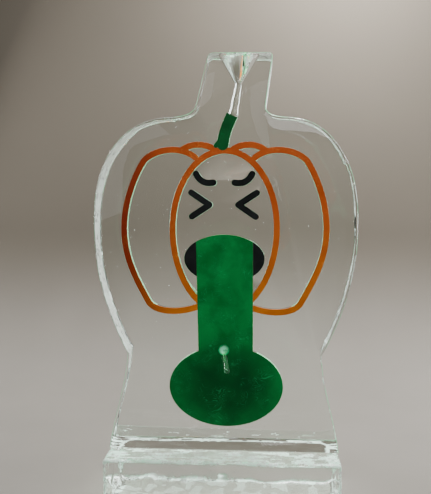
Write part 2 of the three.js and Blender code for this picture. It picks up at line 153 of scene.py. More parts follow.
class LugeStageSettings(bpy.types.PropertyGroup):
    floor: colour_of("Floor", "Pale floor", (0.23, 0.212, 0.185))
    wall: colour_of("Wall", "Backdrop behind the sculpture", (0.11, 0.094, 0.072))
    sky: colour_of("Surround", "Soft light from all round", (0.62, 0.64, 0.66))
    sky_strength: number_of("Surround strength", "Strength of the soft light from all round", 0.05)
    distance: size_of("Camera distance", "From the slab's front face", 1.44)
    height: size_of("Camera height", "Above the slab's underside", 0.4596)
    side: size_of("Camera side", "To the right of the slab's middle", 0.0771)
    lens: number_of("Lens", "Focal length in millimetres", 54.95)
    yaw: angle_of("Yaw", "Turn of the camera to the left", 3.737)
    pitch: angle_of("Pitch", "Tilt of the camera downwards", 2.529)
    roll: angle_of("Roll", "Turn of the picture", 0.35)


# Node trees

def feed(tree, value, socket):
    """Links an output to a socket, or sets the socket to a plain number, vector or colour."""
    if isinstance(value, bpy.types.NodeSocket):
        tree.links.new(value, socket)
    elif socket.type == "RGBA":
        socket.default_value = (*value, 1.0)
    else:
        socket.default_value = value


def node_of(tree, kind, inputs=None, **values):
    node = tree.nodes.new(kind)
    for name, value in values.items():
        setattr(node, name, value)
    for socket, value in (inputs or {}).items():
        feed(tree, value, node.inputs[socket])
    return node


def maths(tree, operation, *values, clamp=False):
    inputs = dict(enumerate(values))
    return node_of(tree, "ShaderNodeMath", inputs, operation=operation, use_clamp=clamp).outputs[0]


def product(tree, first, second):
    return maths(tree, "MULTIPLY", first, second)


def total(tree, first, second):
    return maths(tree, "ADD", first, second)


def mixed(tree, factor, first, second):
    """A colour between two."""
    return node_of(tree, "ShaderNodeMix", {0: factor, 6: first, 7: second}, data_type="RGBA").outputs[2]


def mixed_value(tree, factor, first, second):
    """A number between two."""
    return node_of(tree, "ShaderNodeMix", {0: factor, 2: first, 3: second}, data_type="FLOAT").outputs[0]


def ramped(tree, value, low, high):
    node = node_of(tree, "ShaderNodeMapRange", {"Value": value, "From Min": low, "From Max": high},
                   clamp=True, interpolation_type="SMOOTHSTEP")
    return node.outputs["Result"]


def noisy(tree, place, scale, detail=2.0, roughness=0.5, distortion=0.0):
    node = node_of(tree, "ShaderNodeTexNoise", {
        "Vector": place, "Scale": scale, "Detail": detail, "Roughness": roughness, "Distortion": distortion})
    return node.outputs["Fac"]


def stretched(tree, place, scale):
    return node_of(tree, "ShaderNodeMapping", {"Vector": place, "Scale": scale}).outputs["Vector"]


def object_place(tree):
    return node_of(tree, "ShaderNodeTexCoord").outputs["Object"]


def group_of(name, kind, inputs, outputs):
    """A new node group, with its input node's outputs and its output node's inputs."""
    tree = bpy.data.node_groups.new(name, kind)
    for socket_name, socket_kind, default in inputs:
        socket = tree.interface.new_socket(socket_name, in_out="INPUT", socket_type=socket_kind)
        if default is not None:
            socket.default_value = default
    for socket_name, socket_kind in outputs:
        tree.interface.new_socket(socket_name, in_out="OUTPUT", socket_type=socket_kind)
    return tree, node_of(tree, "NodeGroupInput").outputs, node_of(tree, "NodeGroupOutput").inputs


def surface_group(name, inputs):
    """A new shader node group that puts out a surface's colour, roughness and height."""
    return group_of(name, "ShaderNodeTree", [("Place", "NodeSocketVector", None), *inputs], [
        ("Colour", "NodeSocketColor"), ("Roughness", "NodeSocketFloat"), ("Height", "NodeSocketFloat")])


def shared_group(build):
    """A node group that is built the first time that it is asked for, and is named for its builder."""
    return bpy.data.node_groups.get(build.__name__) or build(build.__name__)


def melted_surface(name):
    """Ice: clear where it is polished, rough where it is frosty, and there it takes the frost colour fed in,
    which carries painted green glints.
    """
    tree, given, put = surface_group(name, [
        ("Frost", "NodeSocketFloat", 0.0),
        ("Tint", "NodeSocketColor", WHITE),
        ("Frost Colour", "NodeSocketColor", WHITE),
        ("Clear Roughness", "NodeSocketFloat", 0.01),
        ("Frost Roughness", "NodeSocketFloat", 0.4),
    ])
    place = given["Place"]
    broken = ramped(tree, noisy(tree, place, scale=85.0, detail=4.0, roughness=0.65), 0.36, 0.62)
    frost = maths(tree, "MINIMUM", product(tree, given["Frost"], total(tree, broken, 0.25)), 1.0)
    swell = noisy(tree, place, scale=9.0, detail=1.0)
    ripple = product(tree, noisy(tree, place, scale=60.0), 0.06)
    grit = product(tree, noisy(tree, place, scale=420.0, detail=3.0, roughness=0.7), 0.12)
    rough = mixed_value(tree, frost, given["Clear Roughness"], given["Frost Roughness"])
    feed(tree, mixed(tree, frost, given["Tint"], given["Frost Colour"]), put["Colour"])
    feed(tree, rough, put["Roughness"])
    feed(tree, total(tree, total(tree, swell, ripple), product(tree, grit, frost)), put["Height"])
    return tree


def frozen_fill(name):
    """A frozen fill: cloudy, with the curved marks of the tool that cut it."""
    tree, given, put = surface_group(name, [
        ("Light Colour", "NodeSocketColor", WHITE),
        ("Dark Colour", "NodeSocketColor", BLACK),
        ("Mark Colour", "NodeSocketColor", WHITE),
        ("Marks", "NodeSocketFloat", 0.3),
        ("Mark Scale", "NodeSocketFloat", 30.0),
    ])
    place = given["Place"]
    billow = noisy(tree, place, scale=16.0, detail=5.0, roughness=0.6, distortion=0.4)
    cloud = ramped(tree, billow, 0.3, 0.72)
    flat = stretched(tree, place, (1.0, 1.0, 1.6))
    curls = noisy(tree, flat, scale=given["Mark Scale"], detail=1.0, distortion=1.2)
    waves = maths(tree, "ABSOLUTE", maths(tree, "SINE", product(tree, curls, 34.0)))
    worn = ramped(tree, noisy(tree, place, scale=26.0, detail=3.0, roughness=0.6), 0.46, 0.64)
    scratches = product(tree, ramped(tree, waves, 0.4, 0.0), worn)
    marks = product(tree, scratches, given["Marks"])
    speck = product(tree, ramped(tree, noisy(tree, place, scale=520.0), 0.62, 0.8), 0.25)
    pale = maths(tree, "ADD", product(tree, cloud, 0.85), speck, clamp=True)
    cloudy = mixed(tree, pale, given["Dark Colour"], given["Light Colour"])
    feed(tree, mixed(tree, marks, cloudy, given["Mark Colour"]), put["Colour"])
    feed(tree, total(tree, product(tree, cloud, 0.18), 0.34), put["Roughness"])
    feed(tree, total(tree, marks, product(tree, cloud, 0.5)), put["Height"])
    return tree


# Materials

def new_material(name):
    material = bpy.data.materials.new(name)
    material.use_nodes = True
    tree = material.node_tree
    return material, tree, tree.nodes["Principled BSDF"]


def grouped_material(name, group, bump, inputs, plain, centre=(0.0, 0.0, 0.0)):
    """A material with the surface of a node group, round the given centre, and plain values on its shader.

    An input of the group is a plain value, or a function that makes its nodes from the tree and the place.
    """
    material, tree, shader = new_material(name)
    mapping = node_of(tree, "ShaderNodeMapping", {
        "Vector": object_place(tree), "Location": [-share for share in centre]})
    place = mapping.outputs["Vector"]
    surface = node_of(tree, "ShaderNodeGroup", node_tree=group)
    feed(tree, place, surface.inputs["Place"])
    for socket, value in inputs.items():
        feed(tree, value(tree, place) if callable(value) else value, surface.inputs[socket])
    height = node_of(tree, "ShaderNodeBump", {"Distance": bump, "Height": surface.outputs["Height"]})
    feed(tree, surface.outputs["Colour"], shader.inputs["Base Color"])
    feed(tree, surface.outputs["Roughness"], shader.inputs["Roughness"])
    feed(tree, height.outputs["Normal"], shader.inputs["Normal"])
    for socket, value in plain.items():
        shader.inputs[socket].default_value = value
    return material


def clear_where(tree, switch, shade):
    """Swaps the material's shader for a transparent one where the switch is on."""
    clear = node_of(tree, "ShaderNodeBsdfTransparent", {"Color": shade})
    mix = node_of(tree, "ShaderNodeMixShader", {
        0: switch, 1: tree.nodes["Principled BSDF"].outputs["BSDF"], 2: clear.outputs["BSDF"]})
    feed(tree, mix.outputs["Shader"], tree.nodes["Material Output"].inputs["Surface"])


def frost_of_mesh(tree, place):
    """The frost attribute of the piece itself."""
    return node_of(tree, "ShaderNodeAttribute", attribute_name="frost").outputs["Fac"]


def ice_material(name, settings, bump, tint, frost_colour, roughness, frost=frost_of_mesh, clarity=1.0,
                 ior=ICE_IOR):
    """Ice, see-through by plain values. Its two roughnesses are for clear and for frosty places.

    Light passes through it to what is inside or behind it.
    """
    material = grouped_material(name, shared_group(melted_surface), bump, {
        "Frost": frost,
        "Tint": tint,
        "Frost Colour": frost_colour,
        "Clear Roughness": roughness[0],
        "Frost Roughness": roughness[1],
    }, {"Transmission Weight": clarity, "IOR": ior})
    tree = material.node_tree
    clear_where(tree, node_of(tree, "ShaderNodeLightPath").outputs["Is Shadow Ray"], settings.shade)
    return material


def crust_material(settings):
    """Ice that has melted and frozen again at an edge: white with fine cracks, tinted with painted green
    glints, and only partly clear.
    """
    return ice_material("frosty_crust_glint", settings, 1.5 * MM, settings.crust_tint, settings.crust,
                        (0.08, 0.45), frost=0.9, clarity=0.4)


def drilled_ice_glow(settings):
    """Ice roughened by the drill, which scatters light, coloured with a painted green glow: bright mint at
    the tube's root, green at the hole's rim.
    """
    inputs = {"Frost": frost_of_mesh, "Tint": settings.lining_rim_glow, "Frost Colour": settings.lining_glow}
    return grouped_material("drilled_ice_glow", shared_group(melted_surface), 0.4 * MM, inputs, {
        "Subsurface Weight": 0.6, "Subsurface Radius": (0.004, 0.006, 0.005)})


def fill_material(name, centre, light, dark, mark_colour, marks, mark_scale):
    """A frozen coloured fill. Its tool marks curl round the given place."""
    return grouped_material(name, shared_group(frozen_fill), 0.25 * MM, {
        "Light Colour": light,
        "Dark Colour": dark,
        "Mark Colour": mark_colour,
        "Marks": marks,
        "Mark Scale": mark_scale,
    }, {"Specular IOR Level": 0.12}, centre)


def face_means(data, name):
    """The mean of a vertex attribute over each face."""
    values = [entry.value for entry in data.attributes[name].data]
    return [sum(values[index] for index in face.vertices) / len(face.vertices) for face in data.polygons]


def roughen_sides(slab, side, milled_glow):
    """Gives the slab's outer walls their matte finish, and the pockets' walls that of the milling tool. Both
    colours carry a painted green glow, pale on the outer walls and bright on the pockets' walls.
    """
    data = slab.data
    data.materials.append(side)
    data.materials.append(milled_glow)
    side_slot, milled_slot = 1, 2
    for face, frost in zip(data.polygons, face_means(data, "frost")):
        is_front_or_back = abs(face.normal.y) > 0.5
        is_underneath = face.normal.z < -0.9
        is_as_deep_as_fills = face.center.y < FILL_HIGH.y
        if is_front_or_back or is_underneath:
            continue
        if frost > 0.2:
            face.material_index = side_slot
        elif frost < 0.01 and is_as_deep_as_fills:
            face.material_index = milled_slot


def spread_crust(piece, material, share):
    """Gives the crust to the frostiest faces of an ice piece, in uneven patches."""
    data = piece.data
    data.materials.append(material)
    slot = len(data.materials) - 1
    for face, crust in zip(data.polygons, face_means(data, "crust")):
        fine = 0.5 * (noise_at(face.center, scale=190.0, seed=12.0) - 0.5)
        broad = 0.3 * (noise_at(face.center, scale=45.0, seed=9.0) - 0.5)
        if crust + fine + broad > 1.0 - share:
            face.material_index = slot


# Mesh making

def merged_copy(node):
    """A bmesh of a CAD node with its loose triangles joined."""
    mesh = bmesh.new()
    mesh.from_mesh(NODES[node].data)
    bmesh.ops.remove_doubles(mesh, verts=mesh.verts, dist=MERGE_DISTANCE)
    return mesh


def object_from(mesh, name, smooth_angle=None):
    data = bpy.data.meshes.new(name)
    mesh.to_mesh(data)
    mesh.free()
    piece = bpy.data.objects.new(name, data)
    bpy.context.scene.collection.objects.link(piece)
    if smooth_angle is not None:
        shade_smooth(data, smooth_angle)
    return piece


def shade_smooth(data, angle):
    data.polygons.foreach_set("use_smooth", [True] * len(data.polygons))
    data.set_sharp_from_angle(angle=angle)


def frosted_vert(mesh, layers, spot, values):
    """A new point with a value in each layer."""
    vert = mesh.verts.new(spot)
    for layer, value in zip(layers, values):
        vert[layer] = value
    return vert


def ring_round(mesh, centre, across, up, radius, sides, squash=1.0):
    return [
        mesh.verts.new(centre + across * (radius * math.cos(2 * math.pi * side / sides))
                       + up * (radius * squash * math.sin(2 * math.pi * side / sides)))
        for side in range(sides)
    ]


def bridge(mesh, one, other):
    """Faces between two closed rings."""
    count = len(one)
    for side in range(count):
        after = (side + 1) % count
        mesh.faces.new((one[side], one[after], other[after], other[side]))


def noise_at(place, scale, seed):
    """Smooth noise from 0 to 1."""
    return 0.5 + 0.5 * noise.noise(Vector(place) * scale + Vector((seed, 2.0 * seed, -seed)))


def smoothstep(low, high, value):
    share = min(max((value - low) / (high - low), 0.0), 1.0)
    return share * share * (3.0 - 2.0 * share)


def middle_of(node):
    low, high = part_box(node)
    return (low + high) / 2


# The slab

def slab_outline():
    """The slab's outline in the front view, read from the CAD node's straight side walls, in order."""
    mesh = merged_copy("carved_slab")
    thickness = SLAB_HIGH.y - SLAB_LOW.y
    neighbours = {}
    for face in mesh.faces:
        depths = [vert.co.y for vert in face.verts]
        if abs(face.normal.y) > 0.02 or max(depths) - min(depths) < 0.8 * thickness:
            continue
        ends = [vert for vert in face.verts if vert.co.y < min(depths) + 0.01 * MM]
        if len(ends) == 2:
            for one, other in (ends, ends[::-1]):
                neighbours.setdefault(one, set()).add(other)
    start = min(neighbours, key=lambda vert: (len(neighbours[vert]), vert.co.x))
    loop, seen = [start], {start}
    ahead = list(neighbours[start])
    while ahead:
        loop.append(ahead[0])
        seen.add(ahead[0])
        ahead = [vert for vert in neighbours[loop[-1]] if vert not in seen]
    if loop[1].co.z > start.co.z:
        loop.reverse()
    points = [(vert.co.x, vert.co.z) for vert in loop]
    mesh.free()
    return points


def is_corner(before, here, after):
    first = math.atan2(here[1] - before[1], here[0] - before[0])
    second = math.atan2(after[1] - here[1], after[0] - here[0])
    turn = (second - first + math.pi) % (2 * math.pi) - math.pi
    return abs(turn) > CORNER_TURN


def fine_outline(points, step):
    """The outline in even steps, smoothed but for its true corners. Each entry is x, z, kept."""
    count = len(points)
    fine = []
    for index, here in enumerate(points):
        after = points[(index + 1) % count]
        corner = is_corner(points[index - 1], here, after)
        pieces = max(1, round(math.dist(here, after) / step))
        for part in range(pieces):
            share = part / pieces
            fine.append((here[0] + (after[0] - here[0]) * share, here[1] + (after[1] - here[1]) * share,
                         corner and part == 0))
    for _ in range(SMOOTHING_PASSES):
        last = len(fine)
        fine = [
            entry if entry[2] else (
                (fine[i - 1][0] + 2 * entry[0] + fine[(i + 1) % last][0]) / 4,
                (fine[i - 1][1] + 2 * entry[1] + fine[(i + 1) % last][1]) / 4, False)
            for i, entry in enumerate(fine)
        ]
    return fine


def outline_normals(fine):
    """The outward direction at each point of the outline."""
    normals = []
    for index in range(len(fine)):
        before, after = fine[index - 2], fine[(index + 2) % len(fine)]
        along = Vector((after[0] - before[0], after[1] - before[1])).normalized()
        normals.append(Vector((along.y, -along.x)))
    return normals


def rim_profile(radius, settings):
    """Rows from the slab's back face round its side to its front face, as inset, depth and frost."""
    front, back = SLAB_LOW.y + settings.face_melt, SLAB_HIGH.y - settings.face_melt
    turn = []
    for row in range(RIM_ROWS + 1):
        angle = math.pi / 2 * row / RIM_ROWS
        turn.append((radius * (1 - math.cos(angle)), radius * (1 - math.sin(angle)), math.sin(2 * angle)))
    low, high = front + radius, back - radius
    wall_rows = max(2, round((back - front - 2 * settings.rim_radius) / settings.wall_step))
    rows = [(inset, back - reach, frost) for inset, reach, frost in reversed(turn)]
    rows += [(0.0, high + (low - high) * row / wall_rows, 0.0) for row in range(1, wall_rows)]
    rows += [(inset, front + reach, frost) for inset, reach, frost in turn]
    return rows


def is_underside(z):
    return z < SLAB_LOW.z + 1 * MM


def refrozen_seam(x, depth, foot_reach):
    """How frosty the slab's underside is, where melt water has frozen again inside its back and corners."""
    corner, waver, line_inset, streak_inset = 45 * MM, 8 * MM, 22 * MM, 24 * MM
    from_back = min(SLAB_HIGH.y - depth, corner)
    from_side = min(foot_reach - abs(x), corner)
    inward = corner - math.hypot(corner - from_back, corner - from_side)
    inward += waver * (noise_at((x, 0.0, 0.0), scale=20.0, seed=13.0) - 0.5)
    line = smoothstep(5 * MM, 2 * MM, abs(inward - line_inset))
    streak = smoothstep(0.46, 0.54, noise_at((0.35 * x, depth, 0.0), scale=90.0, seed=8.0))
    return max(line, streak * smoothstep(streak_inset, streak_inset - 6 * MM, inward))


def slab_frost(spot, height, on_side, turn, foot_reach):
    """How frosty and how crusted a point of the slab's sides, rims or underside is."""
    x, depth, z = spot
    if is_underside(z):
        rim = min(depth - SLAB_LOW.y, SLAB_HIGH.y - depth)
        seam = max(refrozen_seam(x, depth, foot_reach), smoothstep(9 * MM, 4 * MM, rim))
        return 0.8 * seam, 0.9 * seam
    patch = smoothstep(0.35, 0.7, noise_at(spot, scale=22.0, seed=5.0))
    foot = smoothstep(0.03, 0.0, height)
    side = (0.5 + 0.3 * patch) * on_side
    return max(side, turn * (0.45 + 0.55 * max(patch, foot))), max(turn * (0.3 + 0.5 * patch), 0.4 * foot)


def melted_body(settings):
    """The slab's outer body with rounded, melted rims, before its hollows are cut."""
    fine = fine_outline(slab_outline(), settings.outline_step)
    mesh = bmesh.new()
    layers = [mesh.verts.layers.float.new(name) for name in ("frost", "crust")]
    foot_reach = max(abs(x) for x, z, _ in fine if is_underside(z))
    rings = []
    for (x, z, _), normal in zip(fine, outline_normals(fine)):
        height = (z - SLAB_LOW.z) / (SLAB_HIGH.z - SLAB_LOW.z)
        at_foot, on_neck = smoothstep(0.05, 0.0, height), smoothstep(0.84, 0.9, height)
        swell = 0.8 + 0.4 * noise_at((x, 0.0, z), scale=14.0, seed=3.0)
        radius = settings.rim_radius * (1.0 - 0.5 * at_foot - 0.4 * on_neck) * swell
        column = []
        for inset, depth, turn in rim_profile(radius, settings):
            spot = (x, depth, z)
            melt = noise_at(spot, scale=30.0, seed=7.0) ** 2 * min(1.0, 0.35 + turn)
            rough = 0.35 * noise_at(spot, scale=110.0, seed=11.0) * turn
            shift = inset + settings.face_melt + settings.rim_melt * (melt + rough)
            values = slab_frost(spot, height, inset == 0.0, turn, foot_reach)
            moved = (x - normal.x * shift, depth, z - normal.y * shift)
            column.append(frosted_vert(mesh, layers, moved, values))
        for end in (column[0], column[-1]):
            for layer in layers:
                end[layer] = 0.0
        rings.append(column)
    for index, here in enumerate(rings):
        after = rings[(index + 1) % len(rings)]
        for row in range(len(here) - 1):
            mesh.faces.new((here[row], here[row + 1], after[row + 1], after[row]))
    mesh.faces.new([column[0] for column in rings])
    mesh.faces.new([column[-1] for column in reversed(rings)])
    bmesh.ops.recalc_face_normals(mesh, faces=mesh.faces)
    return object_from(mesh, "ice_slab")


def evaluated_mesh(piece):
    graph = bpy.context.evaluated_depsgraph_get()
    return bpy.data.meshes.new_from_object(piece.evaluated_get(graph), preserve_all_data_layers=True,
                                           depsgraph=graph)


def cut_by_cad(body):
    """Cuts the pockets, funnel and channel into the melted body, as what it has in common with the CAD."""
    cutter = object_from(merged_copy("carved_slab"), "slab_cutter")
    modifier = body.modifiers.new("hollows", "BOOLEAN")
    modifier.operation = "INTERSECT"
    modifier.solver = "MANIFOLD"
    modifier.object = cutter
    whole, body_data = evaluated_mesh(body), body.data
    body.modifiers.remove(modifier)
    body.data = whole
    bpy.data.meshes.remove(body_data)
    bpy.data.objects.remove(cutter)
    if len(whole.polygons) < LEAST_SLAB_FACES:
        raise RuntimeError("the slab's hollows couldn't be cut")


# Air bubbles

def air_bubbles(name):
    """Geometry Nodes: bubbles spread behind a face, as small hollows whose faces look into them."""
    tree, given, put = group_of(name, "GeometryNodeTree", [
        ("Face", "NodeSocketGeometry", None),
        ("Amount", "NodeSocketFloat", None),
        ("Radius", "NodeSocketFloat", None),
        ("Depth", "NodeSocketFloat", None),
        ("Material", "NodeSocketMaterial", None),
    ], [("Geometry", "NodeSocketGeometry")])
    scatter = node_of(tree, "GeometryNodeDistributePointsOnFaces", {
        "Mesh": given["Face"], "Density": given["Amount"], "Seed": 4})
    chance = node_of(tree, "FunctionNodeRandomValue", {"Seed": 9}, data_type="FLOAT")
    deep = product(tree, chance.outputs[1], given["Depth"])
    move = node_of(tree, "ShaderNodeCombineXYZ", {"Y": deep})
    place = node_of(tree, "GeometryNodeSetPosition", {
        "Geometry": scatter.outputs["Points"], "Offset": move.outputs[0]})
    bubble = node_of(tree, "GeometryNodeMeshUVSphere", {
        "Segments": BUBBLE_SEGMENTS, "Rings": BUBBLE_RINGS, "Radius": given["Radius"]})
    smooth = node_of(tree, "GeometryNodeSetShadeSmooth", {"Geometry": bubble.outputs["Mesh"]})
    turned = node_of(tree, "GeometryNodeFlipFaces", {"Mesh": smooth.outputs["Geometry"]})
    size = node_of(tree, "FunctionNodeRandomValue", {2: 0.25, 3: 1.0, "Seed": 2}, data_type="FLOAT")
    copies = node_of(tree, "GeometryNodeInstanceOnPoints", {
        "Points": place.outputs["Geometry"], "Instance": turned.outputs["Mesh"], "Scale": size.outputs[1]})
    real = node_of(tree, "GeometryNodeRealizeInstances", {"Geometry": copies.outputs["Instances"]})
    coated = node_of(tree, "GeometryNodeSetMaterial", {
        "Geometry": real.outputs["Geometry"], "Material": given["Material"]})
    feed(tree, coated.outputs["Geometry"], put["Geometry"])
    return tree


def scattered_bubbles(low, high, count, material, settings):
    """A mesh of bubbles spread through the depth of a box."""
    first_share, spread_share = 0.2, 0.7
    sheet = bmesh.new()
    depth = low.y + first_share * (high.y - low.y)
    corners = ((low.x, low.z), (high.x, low.z), (high.x, high.z), (low.x, high.z))
    sheet.faces.new([sheet.verts.new((x, depth, z)) for x, z in corners])
    holder = object_from(sheet, "bubble_sheet")
    tree = shared_group(air_bubbles)
    modifier = holder.modifiers.new("bubbles", "NODES")
    modifier.node_group = tree
    values = {
        "Amount": count / ((high.x - low.x) * (high.z - low.z)),
        "Radius": settings.bubble_radius,
        "Depth": spread_share * (high.y - low.y),
        "Material": material,
    }
    for socket in tree.interface.items_tree:
        if socket.name in values:
            modifier[socket.identifier] = values[socket.name]
    made = evaluated_mesh(holder)
    bpy.data.objects.remove(holder)
    return made


def is_inside(piece, bubble):
    """True where a bubble's points are all inside the ice, and a millimetre or more from its surface."""
    centre = sum((vert.co for vert in bubble), Vector()) / len(bubble)
    reach = max((vert.co - centre).length for vert in bubble) + 1 * MM
    found, spot, normal, _ = piece.closest_point_on_mesh(centre)
    away = centre - spot
    return found and away.length > reach and away.dot(normal) < 0.0


def add_bubbles(piece, low, high, count, material, settings):
    """Joins air bubbles to an ice piece as small hollows, but none that would meet its surface."""
    made = scattered_bubbles(low, high, count, material, settings)
    mesh = bmesh.new()
    mesh.from_mesh(made)
    points = list(mesh.verts)
    size = BUBBLE_SEGMENTS * (BUBBLE_RINGS - 1) + 2
    bubbles = [points[start:start + size] for start in range(0, len(points), size)]
    doomed = [vert for bubble in bubbles if not is_inside(piece, bubble) for vert in bubble]
    bmesh.ops.delete(mesh, geom=doomed, context="VERTS")
    mesh.to_mesh(made)
    mesh.free()
    whole = bmesh.new()
    whole.from_mesh(piece.data)
    whole.from_mesh(made)
    whole.to_mesh(piece.data)
    whole.free()
    bpy.data.meshes.remove(made)


# The block

def margins(spot):
    """How far a point is from the block's nearer face, along each axis."""
    return [min(spot[axis] - BASE_LOW[axis], BASE_HIGH[axis] - spot[axis]) for axis in range(3)]


def block_spot(cell, counts, settings):
    """A point of the block, moved in from the box by the rounding and the melt of its nearest edge.

    With it come the radius of that edge, and how near it is, from 0 to 1.
    """
    spot = Vector(BASE_LOW[axis] + (BASE_HIGH[axis] - BASE_LOW[axis]) * cell[axis] / counts[axis]
                  for axis in range(3))
    radius = settings.block_radius * (0.7 + 0.9 * noise_at(spot, scale=11.0, seed=1.0))
    inset = Vector((radius, radius, radius))
    inner_low, inner_high = BASE_LOW + inset, BASE_HIGH - inset
    core = Vector(min(max(spot[axis], inner_low[axis]), inner_high[axis]) for axis in range(3))
    out = spot - core
    moved = [abs(out[axis]) > LEAST_MOVE for axis in range(3)]
    near = sorted(margins(spot))[1]
    edge = 1.0 - smoothstep(0.0, 2.2 * radius, near)
    if sum(moved) > 1:
        spot = core + out.normalized() * radius
    bite = noise_at(spot, scale=30.0, seed=6.0) ** 2
    nick = 0.18 * noise_at(spot, scale=95.0, seed=8.0)
    to_middle = (BASE_LOW + BASE_HIGH) / 2 - spot
    inward = Vector(math.copysign(moved[axis], to_middle[axis]) for axis in range(3))
    if any(moved):
        spot += inward.normalized() * (settings.block_melt * edge * (bite + nick))
    for axis in (0, 1):
        if cell[axis] in (0, counts[axis]):
            hollow = smoothstep(0.5, 0.85, noise_at(spot, scale=17.0, seed=15.0))
            deep = settings.block_dimple * hollow * smoothstep(0.0, 25 * MM, near)
            spot[axis] += math.copysign(deep, to_middle[axis])
    spot.z = max(spot.z, BASE_LOW.z)
    return spot, radius, edge


def top_crust(spot, before):
    """How frosty the block's top is: streaky before the slab, seamed at its edges, clearer behind."""
    streak = smoothstep(0.47, 0.56, noise_at((0.3 * spot.x, 1.6 * spot.y, 0.0), scale=75.0, seed=2.0))
    crack = abs(noise_at((0.2 * spot.x, spot.y, 0.0), scale=50.0, seed=4.0) - 0.5)
    line = 1.0 - smoothstep(0.0, 0.05, crack)
    waver = 3 * MM * (noise_at((spot.x, 0.0, 0.0), scale=25.0, seed=9.0) - 0.5)
    seam = min(abs(spot.y - SLAB_LOW.y + waver), abs(spot.y - SLAB_HIGH.y + waver))
    sealed = 1.0 - smoothstep(1.5 * MM, 4.5 * MM, seam)
    behind = smoothstep(0.0, 4 * MM, spot.y - SLAB_HIGH.y)
    return max(0.7 * sealed * streak, before * max(0.85 * streak, 0.75 * line), 0.62 * line * behind)


def block_frost(spot, radius, edge):
    """How frosty and how crusted a point of the block is."""
    patch = smoothstep(0.3, 0.7, noise_at(spot, scale=24.0, seed=4.0))
    top = smoothstep(-radius, 0.0, spot.z - BASE_HIGH.z)
    under = smoothstep(radius, 0.0, spot.z - BASE_LOW.z)
    pitted = smoothstep(0.44, 0.6, noise_at((spot.x, 0.6 * spot.y, 0.0), scale=42.0, seed=21.0))
    before = smoothstep(0.0, 4 * MM, SLAB_LOW.y - spot.y)
    upright = smoothstep(11 * MM, 5 * MM, max(margins(spot)[:2]))
    frost = min(1.0, edge * (0.45 + 0.55 * patch) + 0.35 * top * patch * before + 0.7 * under)
    crust = max(edge * (0.35 + 0.5 * patch), 0.8 * upright * (0.6 + 0.4 * patch),
                top * top_crust(spot, before), 0.8 * under * pitted)
    return frost, crust


def melted_block(settings):
    """The base block: a box in even steps, its edges melted round and its rims uneven and frosty."""
    counts = [max(4, round(side / settings.block_step)) for side in BASE_HIGH - BASE_LOW]
    mesh = bmesh.new()
    layers = [mesh.verts.layers.float.new(name) for name in ("frost", "crust")]
    made = {}

    def vert_at(cell):
        if cell not in made:
            spot, radius, edge = block_spot(cell, counts, settings)
            made[cell] = frosted_vert(mesh, layers, spot, block_frost(spot, radius, edge))
        return made[cell]

    for axis in range(3):
        across, up = [other for other in range(3) if other != axis]
        for level in (0, counts[axis]):
            for i in range(counts[across]):
                for j in range(counts[up]):
                    corners = []
                    for di, dj in ((0, 0), (1, 0), (1, 1), (0, 1)):
                        cell = [0, 0, 0]
                        cell[axis], cell[across], cell[up] = level, i + di, j + dj
                        corners.append(vert_at(tuple(cell)))
                    mesh.faces.new(corners)
    bmesh.ops.recalc_face_normals(mesh, faces=mesh.faces)
    return object_from(mesh, "melted_block", ROUND_SHADING)


# The spout

def tube_sizes():
    """The middle of the CAD tube's outer end and of its inner end, its radius and its bore's radius."""
    mesh = merged_copy("spout_tube")
    split = (TUBE_LOW.y + TUBE_HIGH.y) / 2
    near = [vert.co.copy() for vert in mesh.verts if vert.co.y < split]
    far = [vert.co.copy() for vert in mesh.verts if vert.co.y >= split]
    mesh.free()
    outer = sum(near, Vector()) / len(near)
    inner = sum(far, Vector()) / len(far)
    reaches = [(point - outer).length for point in near]
    return outer, inner, max(reaches), min(reaches)


def spout_hole():
    """The middle and the radius of the spout's hole in the stream, read from the CAD node's front face."""
    mesh = merged_copy("stream_and_puddle")
    outer, inner, tube_radius, _ = tube_sizes()
    root = inner + (outer - inner) * ((FILL_LOW.y - inner.y) / (outer.y - inner.y))
    rim = [vert.co.copy() for vert in mesh.verts
           if vert.co.y < FILL_LOW.y + 0.01 * MM and (vert.co - root).length < 5 * tube_radius]
    mesh.free()
    left, right = min(point.x for point in rim), max(point.x for point in rim)
    radius = (right - left) / 2
    return Vector((left + radius, FILL_LOW.y, max(point.z for point in rim) - radius)), radius


def clear_tube():
    """The spout tube: a clear wall with rounded lips, slightly squeezed towards its open end."""
    outer, inner, radius, bore = tube_sizes()
    along = (outer - inner).normalized()
    across = along.cross(Vector((0, 0, 1))).normalized()
    up = across.cross(along).normalized()
    length = (outer - inner).length
    half_wall = (radius - bore) / 2
    middle = (radius + bore) / 2

    def wall_row(share, size):
        return half_wall + (length - 2 * half_wall) * share, size, 1.0 - 0.08 * smoothstep(0.55, 1.0, share)

    def swollen(share):
        return radius * (0.985 + 0.015 * noise_at((3.0 * share, 0.0, 0.0), scale=2.0, seed=2.0))

    shares = [row / TUBE_ROWS for row in range(TUBE_ROWS + 1)]
    turns = [math.pi * row / LIP_ROWS for row in range(1, LIP_ROWS)]
    profile = [wall_row(share, swollen(share)) for share in shares]
    profile += [(length - half_wall + half_wall * math.sin(turn), middle + half_wall * math.cos(turn), 0.92)
                for turn in turns]
    profile += [wall_row(share, bore) for share in reversed(shares)]
    profile += [(half_wall - half_wall * math.sin(turn), middle - half_wall * math.cos(turn), 1.0)
                for turn in turns]
    mesh = bmesh.new()
    rings = [ring_round(mesh, inner + along * reach, across, up, size, TUBE_SIDES, squash)
             for reach, size, squash in profile]
    for index, ring in enumerate(rings):
        bridge(mesh, ring, rings[(index + 1) % len(rings)])
    bmesh.ops.recalc_face_normals(mesh, faces=mesh.faces)
    return object_from(mesh, "clear_tube", ROUND_SHADING)


